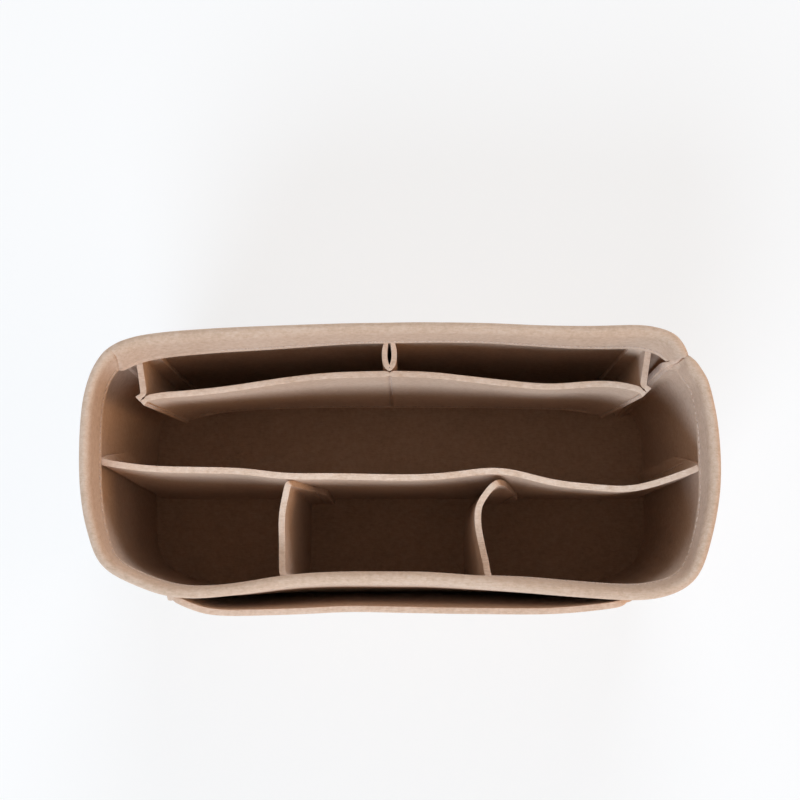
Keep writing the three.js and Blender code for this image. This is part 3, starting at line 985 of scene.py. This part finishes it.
LOOP_SEAM_MM = [
    (-6, 1), (-2.6, 1), (-1.2, 0.92), (-0.5, 0.7), (0, 0.4), (0.5, 0.7), (1.2, 0.92),
    (2.6, 1), (6, 1),
]


def cut_to_bend(tip, corner):
    """From a raw corner edge to the bend, with the stitched line pressed thin."""
    towards = (corner - tip).normalized()
    return [(tip + towards * mark * MM, share) for mark, share in SEAM_MM]


def pocket_corner(corner, side, wall_point):
    """Where the panel bends, its cut tip, and the whole line of the pocket's side."""
    outwards = Vector((side, -1, 0)).normalized()
    apart = Vector((-side, -1, 0)).normalized() * FELT / 2
    panel_bend, side_bend = corner + apart, corner - apart
    root = wall_point(side_bend.x + side * SIDE_SPLAY)
    foot = wall_point(root.x - side * POCKET_FOOT)
    side_line = [
        *cut_to_bend(side_bend + outwards * CORNER_SEAM, side_bend), (side_bend, 1),
        (side_bend.lerp(root, 0.3), 1), (side_bend.lerp(root, 0.6), 1),
        *bend(side_bend, root, foot, FELT), (foot, 1),
    ]
    return panel_bend, panel_bend + outwards * CORNER_SEAM, side_line


# %% [markdown]
# The panel's line is drawn by its depth in front of the wall, because both were measured
# together in the photograph. Beside the seam of the pen loop its stations stand close, so
# that the thread can press a narrow groove.

# %% The pocket's lines at one height
WEB_STEPS = 16


def pocket_lines(height, depth, middle_depth):
    """The panel's line and both sides' lines at one height."""
    def wall_point(x):
        return landing(inside_seat, x, 0, height, ALONG_Y)

    half_length = (BASE_LENGTH + (RIM_LENGTH - BASE_LENGTH) * height / HEIGHT) / 2
    left = POCKET_LEFT_GAP - half_length + OFF_CENTRE.x
    right = half_length - POCKET_RIGHT_GAP + OFF_CENTRE.x
    knots = []
    for way, drawn_in in DRAWN_IN_SHARES:
        drawn = depth + (middle_depth - depth) * drawn_in
        knots.append(wall_point(left + (right - left) * way) - ALONG_Y * drawn)
    left_bend, left_tip, left_side = pocket_corner(knots[0], -1, wall_point)
    right_bend, right_tip, right_side = pocket_corner(knots[-1], 1, wall_point)
    web = smooth_line([left_bend, *knots[1:-1], right_bend])
    loop_mark = min(web.marks, key=lambda mark: abs(web.at(mark).x - PEN_LOOP_X))
    rest = web.length - loop_mark
    before = [loop_mark * step / WEB_STEPS for step in range(1, WEB_STEPS - 1)]
    after = [loop_mark + rest * step / WEB_STEPS for step in range(2, WEB_STEPS)]
    seam = [(loop_mark + mark * MM, share) for mark, share in LOOP_SEAM_MM]
    panel = [
        *cut_to_bend(left_tip, left_bend), (left_bend, 1),
        *((web.at(mark), 1) for mark in before),
        *((web.at(mark), share) for mark, share in seam),
        *((web.at(mark), 1) for mark in after),
        (right_bend, 1), *reversed(cut_to_bend(right_tip, right_bend)),
    ]
    return panel, left_side, right_side


pocket_top = pocket_lines(DIVIDER_TOP, POCKET_MOUTH, POCKET_MIDDLE)
pocket_foot = pocket_lines(POCKET_FLOOR, POCKET_FLOOR_DEPTH, POCKET_FLOOR_DEPTH)
print("the box pocket's mouth is", round(line_length(pocket_top[0]) / MM), "mm along the panel")

# %% [markdown]
# The panel and both sides are standing sheets like the dividers. The bottom is a short grid
# between the panel's foot and the back wall.

# %% Panel, sides and bottom of the box pocket
pocket_panel = standing_piece(
    "inner_pocket_panel", pocket_foot[0], pocket_top[0],
)
standing_piece(
    "inner_pocket_gusset_left", pocket_foot[1], pocket_top[1],
)
standing_piece(
    "inner_pocket_gusset_right", pocket_foot[2], pocket_top[2],
)

pocket_bottom_height = POCKET_FLOOR - FELT / 2
bottom = bmesh.new()
front_line = [point for point, _ in pocket_foot[0][4:-4:2]]
bottom_rows = []
for way in (0, 0.25, 0.5, 0.75, 1):
    row = []
    for point in front_line:
        front = Vector((point.x, point.y - FELT / 2, pocket_bottom_height))
        behind = landing(wall_face, point.x, 0, pocket_bottom_height, ALONG_Y)
        row.append((front.lerp(behind, way), 1))
    bottom_rows.append(row)
grow_sheet(bottom, bottom_rows)
felt_piece(
    bottom, "inner_pocket_bottom",
)

# %% [markdown]
# ## Pen loop
# The loop is one narrow strip, folded into a tube and sewn to the panel along its fold. Seen
# from above it is an eye: its two layers are pressed together at the seam, stand apart in
# the middle, and come closer again at the back wall. A squashed cylinder would be too even,
# so the ring is drawn from measured widths, once for each side.

# %% Pen loop
LOOP_WALL = 2.6 * MM
LOOP_HALF_WIDTH = 2.25 * MM
LOOP_SIDE_SHARES = [
    (0, 0, 0.7), (0.05, 0.2, 0.8), (0.1, 0.46, 0.95), (0.19, 0.75, 1), (0.3, 0.93, 1),
    (0.42, 1.02, 1), (0.54, 1.03, 1), (0.64, 0.98, 0.98), (0.74, 0.88, 0.94),
    (0.87, 0.72, 0.85), (1, 0.6, 0.8),
]


def loop_line(height, panel):
    """The loop's ring, from the seam along one side to the wall and back along the other."""
    wall = landing(wall_face, PEN_LOOP_X, 0, height, ALONG_Y).y
    nearest = min(panel, key=lambda spot: abs(spot[0].x - PEN_LOOP_X))[0]
    front = nearest.y + FELT / 2 + LOOP_WALL / 4
    depth = wall - LOOP_WALL / 2 - front
    ring = [(1, *entry) for entry in LOOP_SIDE_SHARES]
    ring += [(-1, *entry) for entry in reversed(LOOP_SIDE_SHARES[1:])]
    return [
        (Vector((PEN_LOOP_X + side * out * LOOP_HALF_WIDTH, front + way * depth, height)), share)
        for side, way, out, share in ring
    ]


standing_piece(
    "pen_loop",
    loop_line(POCKET_FLOOR, pocket_foot[0]), loop_line(DIVIDER_TOP, pocket_top[0]),
    thickness=LOOP_WALL, closed=True,
)

# %% [markdown]
# ## Outer pockets
# A flat panel is sewn to the outside of the front wall along its sides and bottom, and a
# like one to the back. Its upper edge is a little longer than the wall behind it, so it
# stands away in a bow. The bow's outline is a smooth line over the chord between the two
# side seams, and the felt follows it wherever it stands further out than the wall. The
# seams press it thin and into the wall, and its upper corners are cut round.

# %% Outer pockets
OUTER_TOP = 122 * MM
OUTER_FOOT = 8 * MM
OUTER_SEAM = 4 * MM
FRONT_POCKET_WIDTH = 228 * MM
BACK_POCKET_WIDTH = 210 * MM
FRONT_BOW = 6.6 * MM
BACK_BOW = 7.9 * MM
FRONT_BOW_SHARES = [
    (-0.97, 0), (-0.93, 0.2), (-0.85, 0.79), (-0.76, 1), (-0.63, 1), (-0.42, 0.89),
    (-0.21, 0.68), (0, 0.7), (0.42, 0.82), (0.63, 0.82), (0.76, 0.68), (0.93, 0.32),
    (0.99, 0),
]
BACK_BOW_SHARES = [
    (-0.9, 0), (-0.75, 0.4), (-0.4, 0.86), (0, 1), (0.4, 0.86), (0.75, 0.4), (0.9, 0),
]
SIDE_SEAM_MM = [(0, 0.6), (1, 0.7), (2.2, 0.74), (4, 0.62), (5.6, 0.9), (8, 1), (12, 1)]
CORNER_REACH = 9 * MM
CORNER_DROP = 9 * MM
BOW_STEPS = 26
BOW_RISE = 1.2
SEAM_PRESS = 1.15
POCKET_WAVE_LENGTH = 20 * MM
OUTER_ROWS_MM = [
    (8, 1), (10.6, 0.95), (12, 0.7), (13.4, 0.95), (17, 1), (28, 1), (45, 1), (64, 1),
    (82, 1), (98, 1), (110, 1), (117, 1), (120.5, 1), (122, 1),
]


def outer_wall_point(x, height, side):
    return landing(outside_seat, x, 0, height, ALONG_Y * side)


def outer_pocket(node, side, width, bow, bow_shares):
    half = width / 2
    free = half - FLANGE
    edge = [(mark * MM - half, share) for mark, share in SIDE_SEAM_MM]
    inner = [(free * (2 * step / BOW_STEPS - 1), 1) for step in range(1, BOW_STEPS)]
    columns = [*edge, *inner, *((-x, share) for x, share in reversed(edge))]
    outline = smooth_line([Vector((way * half, bow * share, 0)) for way, share in bow_shares])
    bow_x, bow_out, _ = zip(*outline.points)
    rows = []
    for height_mm, pressed in OUTER_ROWS_MM:
        height = height_mm * MM
        way = ramp(height, OUTER_FOOT, OUTER_TOP)
        seams = [outer_wall_point(x, height, side).y for x in (-free, free)]
        chord = sum(seams) / 2
        row = []
        for x, share in columns:
            point = outer_wall_point(x, height, side)
            bowed = chord + side * numpy.interp(x, bow_x, bow_out)
            point.y += side * max(side * (bowed - point.y), 0) * way ** BOW_RISE
            point.y -= side * (SEAM_PRESS - share * pressed) * FELT / 2
            corner = max(0, 1 - (half - abs(x)) / CORNER_REACH) ** 2
            wave = ripple(x, POCKET_WAVE_LENGTH, EDGE_WAVE)
            point.z += (wave - CORNER_DROP * corner) * way ** 8
            row.append((point, share * pressed))
        rows.append(row)
    mesh = bmesh.new()
    grow_sheet(mesh, rows)
    return felt_piece(mesh, node)


front_pocket = outer_pocket(
    "outer_pocket_front", -1, FRONT_POCKET_WIDTH, FRONT_BOW, FRONT_BOW_SHARES,
)
back_pocket = outer_pocket(
    "outer_pocket_back", 1, BACK_POCKET_WIDTH, BACK_BOW, BACK_BOW_SHARES,
)

# %% [markdown]
# ## Stitches
# All seams are lockstitched: each stitch is a short run of thread that dives into the felt
# at both ends. It could be a bump in the felt's material, but then a close look would find
# nothing there. So one stitch is modelled with a few faces and laid along every seam, turned
# to the felt's own surface under it.

# %% One stitch
STITCH_LENGTH = 3.2 * MM
THREAD = 0.62 * MM
STITCH_ARCH = [(-0.46, -0.9), (-0.3, 0.15), (0, 0.35), (0.3, 0.15), (0.46, -0.9)]


def stitch_mesh(name, length):
    """A thread's ring of six vertices, extruded along the stitch's low arch."""
    mesh = bmesh.new()
    ring = bmesh.ops.create_circle(
        mesh, segments=6, radius=THREAD / 2, cap_ends=True,
        matrix=Matrix.Rotation(math.radians(90), 4, "Y"),
    )["verts"]
    along, up = STITCH_ARCH[0]
    bmesh.ops.translate(mesh, verts=ring, vec=(along * length, 0, up * THREAD / 2))
    cap = mesh.faces[:]
    for along_to, up_to in STITCH_ARCH[1:]:
        grown = bmesh.ops.extrude_face_region(mesh, geom=cap)["geom"]
        bmesh.ops.delete(mesh, geom=cap, context="FACES_ONLY")
        ring = [part for part in grown if isinstance(part, bmesh.types.BMVert)]
        cap = [part for part in grown if isinstance(part, bmesh.types.BMFace)]
        step = Vector(((along_to - along) * length, 0, (up_to - up) * THREAD / 2))
        bmesh.ops.translate(mesh, verts=ring, vec=step)
        along, up = along_to, up_to
    bmesh.ops.recalc_face_normals(mesh, faces=mesh.faces)
    data = bpy.data.meshes.new(name)
    mesh.to_mesh(data)
    mesh.free()
    return data


one_stitch = stitch_mesh("one_stitch", STITCH_LENGTH)
print("one stitch has", len(one_stitch.polygons), "faces")

# %% [markdown]
# A seam is a path that runs close to a piece. Each stitch of it drops to the nearest spot of
# the finished felt, with all its modifiers, and takes that spot's slope.

# %% A seam of stitches
OFF_FACE = 1.2 * MM
SEAM_MARKS = 120
SEAM_START = 2.5 * MM
half_felt = FELT / 2 + OFF_FACE
trees = {}


def surface_of(piece):
    if piece.name not in trees:
        view_layer = bpy.context.evaluated_depsgraph_get()
        trees[piece.name] = BVHTree.FromObject(piece, view_layer)
    return trees[piece.name]


def sew(mesh, piece, path, spacing=STITCH_LENGTH, slant=0):
    """Lays stitches along a path of points that run close to a piece's surface."""
    seam = PlanLine([settled(point) for point in path])
    count = int(seam.length / spacing)
    surface = surface_of(piece)
    for number in range(count):
        mark = (number + 0.5) * seam.length / count
        place, normal, _, _ = surface.find_nearest(seam.at(mark))
        along = (seam.at(mark + MM) - seam.at(mark - MM)).normalized()
        along = Matrix.Rotation(slant, 3, normal) @ along
        side = normal.cross(along).normalized()
        along = side.cross(normal)
        turn = Matrix((along, side, normal)).transposed().to_4x4()
        laid = Matrix.Translation(place) @ turn
        one_stitch.transform(laid)
        mesh.from_mesh(one_stitch)
        one_stitch.transform(laid.inverted())
    return count


def upright(foot, top, place, offset):
    """A path up a standing sheet, at one spot of its lines, off to the left of travel."""
    ends = []
    for line in (foot, top):
        points = [point for point, _ in line]
        side = directions_across(points)[place]
        ends.append(points[place] + side * offset)
    margin = SEAM_START / (ends[1] - ends[0]).length
    return [ends[0].lerp(ends[1], way) for way in (margin, 0.5, 1 - margin)]


def thinnest(shares):
    """The spot that a seam presses most."""
    return shares.index(min(shares))


# %% [markdown]
# One row runs round the hem, near its cut edge. It shows on both faces of the wall, so it
# is laid once inside and once outside.

# %% Hem seams
HEM_SEAM_MARGIN = 7 * MM
hem_thread = bmesh.new()
hem_count = 0
for piece, wall in ((wall_wrap, wraps_round), (back_wall, closes_back)):
    for inwards in (2 * CORE_INWARDS + OFF_FACE, -OFF_FACE):
        marks = wall.marks(SEAM_MARKS, HEM_SEAM_MARGIN)
        path = [wall.at(mark, inwards, HEM_STITCH) for mark in marks]
        hem_count += sew(hem_thread, piece, path)
show(hem_thread, "hem_stitches", thread)
print("hem:", hem_count, "stitches")

# %% [markdown]
# Each flange has one upright row, where its felt is pressed thin.

# %% Divider seams
divider_thread = bmesh.new()
seam_spot = thinnest([share for _, share in FLANGE_MM])
divider_count = 0
for piece, foot, top in (
    (long_divider, long_foot, long_cut),
    (left_divider, left_foot, left_top),
    (right_divider, right_foot, right_top),
):
    for spot in (seam_spot, -1 - seam_spot):
        divider_count += sew(divider_thread, piece, upright(foot, top, spot, half_felt))
show(divider_thread, "divider_stitches", thread)
print("dividers:", divider_count, "stitches")

# %% [markdown]
# The box pocket has a row down each corner, one where the pen loop is sewn on, and one
# along its bottom.

# %% Box pocket seams
pocket_thread = bmesh.new()
panel_foot, panel_top = pocket_foot[0], pocket_top[0]
loop_spot = thinnest([share for _, share in panel_top])
corner_spot = thinnest([share for _, share in SEAM_MM])
BOTTOM_SEAM_WAY = 0.03
pocket_count = 0
for spot in (loop_spot, corner_spot, -1 - corner_spot):
    pocket_count += sew(
        pocket_thread, pocket_panel, upright(panel_foot, panel_top, spot, -half_felt),
    )
bottom_path = [
    point.lerp(high, BOTTOM_SEAM_WAY) - ALONG_Y * half_felt
    for (point, _), (high, _) in zip(panel_foot[5:-5], panel_top[5:-5])
]
pocket_count += sew(pocket_thread, pocket_panel, bottom_path)
show(pocket_thread, "box_pocket_stitches", thread)
print("box pocket:", pocket_count, "stitches")

# %% [markdown]
# An outer pocket's row goes down one side, along its bottom and up the other side.

# %% Outer pocket seams
SIDE_STEPS = 40
outer_thread = bmesh.new()
outer_count = 0
for piece, side, width in (
    (front_pocket, -1, FRONT_POCKET_WIDTH), (back_pocket, 1, BACK_POCKET_WIDTH),
):
    half = width / 2 - OUTER_SEAM
    low, high = OUTER_FOOT + OUTER_SEAM, OUTER_TOP - OUTER_SEAM
    corners = [(-half, high), (-half, low), (half, low), (half, high)]
    for start, end in zip(corners, corners[1:]):
        spots = [Vector(start).lerp(Vector(end), step / SIDE_STEPS) for step in range(SIDE_STEPS + 1)]
        path = [outer_wall_point(*spot, side) + ALONG_Y * side * half_felt for spot in spots]
        outer_count += sew(outer_thread, piece, path)
show(outer_thread, "outer_pocket_stitches", thread)
print("outer pockets:", outer_count, "stitches")

# %% [markdown]
# The base is oversewn to the wall: slanting stitches go over the lower edge all round.

# %% Base seam
BASE_SEAM_HEIGHT = 2.2 * MM
BASE_STITCH_STEP = 4.5 * MM
BASE_STITCH_SLANT = math.radians(70)
base_thread = bmesh.new()
base_count = 0
for piece, wall in ((wall_wrap, wraps_round), (back_wall, closes_back)):
    path = [wall.at(mark, -OFF_FACE, BASE_SEAM_HEIGHT) for mark in wall.marks(SEAM_MARKS)]
    base_count += sew(base_thread, piece, path, BASE_STITCH_STEP, BASE_STITCH_SLANT)
show(base_thread, "base_stitches", thread)
print("base:", base_count, "stitches")

# %% [markdown]
# ## Stage and light
# The insert stands on a plain white floor, painted paper that reaches past the picture. To
# the camera it also glows a little, so that it looks white while it still takes the
# insert's shadow. More light would whiten it too, but would bleach the felt.

# %% Floor
floor_mesh = bmesh.new()
bmesh.ops.create_grid(floor_mesh, x_segments=1, y_segments=1, size=2.5)
floor_data = bpy.data.meshes.new("floor")
floor_mesh.to_mesh(floor_data)
floor_mesh.free()
floor = add_object("floor", floor_data)
floor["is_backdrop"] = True


def seen_by_camera(material):
    """1 for rays that draw the picture, also by way of a gloss or glass, and 0 for light."""
    ray = add_node(material, "ShaderNodeLightPath").outputs
    seen = ray["Is Camera Ray"]
    for name in ("Is Glossy Ray", "Is Transmission Ray"):
        seen = add_node(
            material, "ShaderNodeMath", {0: seen, 1: ray[name]}, operation="MAXIMUM",
        ).outputs["Value"]
    return seen


PAPER_GLOW = 0.68
paper = new_material("white_paper")
paper_surface = add_node(
    paper, "ShaderNodeBsdfPrincipled",
    {"Base Color": linear("#F4F3F1"), "Roughness": 0.9, "Specular IOR Level": 0.2},
)
white = add_node(paper, "ShaderNodeEmission", {"Color": (1, 1, 1, 1), "Strength": 1})
glow = add_node(
    paper, "ShaderNodeMath", {0: seen_by_camera(paper), 1: PAPER_GLOW}, operation="MULTIPLY",
).outputs["Value"]
paper_look = add_node(
    paper, "ShaderNodeMixShader",
    {"Fac": glow, 1: paper_surface.outputs["BSDF"], 2: white.outputs["Emission"]},
)
add_node(paper, "ShaderNodeOutputMaterial", {"Surface": paper_look.outputs["Shader"]})
floor_data.materials.append(paper)

print("white_paper has", len(paper.node_tree.nodes), "nodes")

# %% [markdown]
# The world gives the faint even light of a white room. To the camera it is plain white,
# without giving the insert more light.

# %% World
ROOM_STRENGTH = 0.29

world = bpy.data.worlds.new("white_room")
world.use_nodes = True
world.node_tree.nodes.clear()
room_light = add_node(
    world, "ShaderNodeBackground", {"Color": linear("#FFF2E4"), "Strength": ROOM_STRENGTH},
)
backdrop = add_node(world, "ShaderNodeBackground", {"Color": (1, 1, 1, 1), "Strength": 1})
room = add_node(
    world, "ShaderNodeMixShader",
    {
        "Fac": seen_by_camera(world),
        1: room_light.outputs["Background"],
        2: backdrop.outputs["Background"],
    },
)
add_node(world, "ShaderNodeOutputWorld", {"Surface": room.outputs["Shader"]})
bpy.context.scene.world = world
bpy.context.scene.view_settings.view_transform = "Standard"
print("white_room has", len(world.node_tree.nodes), "nodes")

# %% [markdown]
# A broad soft light stands in front and a little to the left, low enough to reach the back
# wall and to leave the compartments dark. A second one stands behind and lights the back of
# the rim and the back wall, and a small warm one fills from the right. All three are discs,
# because a disc's shadow is soft on every side.

# %% Lamps
def soft_lamp(name, place, size, power, colour):
    data = bpy.data.lights.new(name, "AREA")
    data.shape = "DISK"
    data.size = size
    data.energy = power
    data.color = linear(colour)[:3]
    lamp = add_object(name, data)
    lamp.location = place
    lamp.rotation_euler = (Vector(place) - looks_at).to_track_quat("Z", "Y").to_euler()
    print(name, "gives", power, "watts")


soft_lamp("key_lamp", (-0.6, -1.75, 1.5), 1.3, 51, "#D5EAFF")
soft_lamp("rim_lamp", (0.2, 1.8, 1.45), 1.2, 28, "#E0EFFF")
soft_lamp("fill_lamp", (1.9, -0.3, 0.66), 0.9, 12, "#FFCE9C")

# %% [markdown]
# ## Sizes
# The bounds of the finished pieces are taken the same way as those of the CAD model,
# whose size is printed at the start.

# %% Finish
low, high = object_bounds()
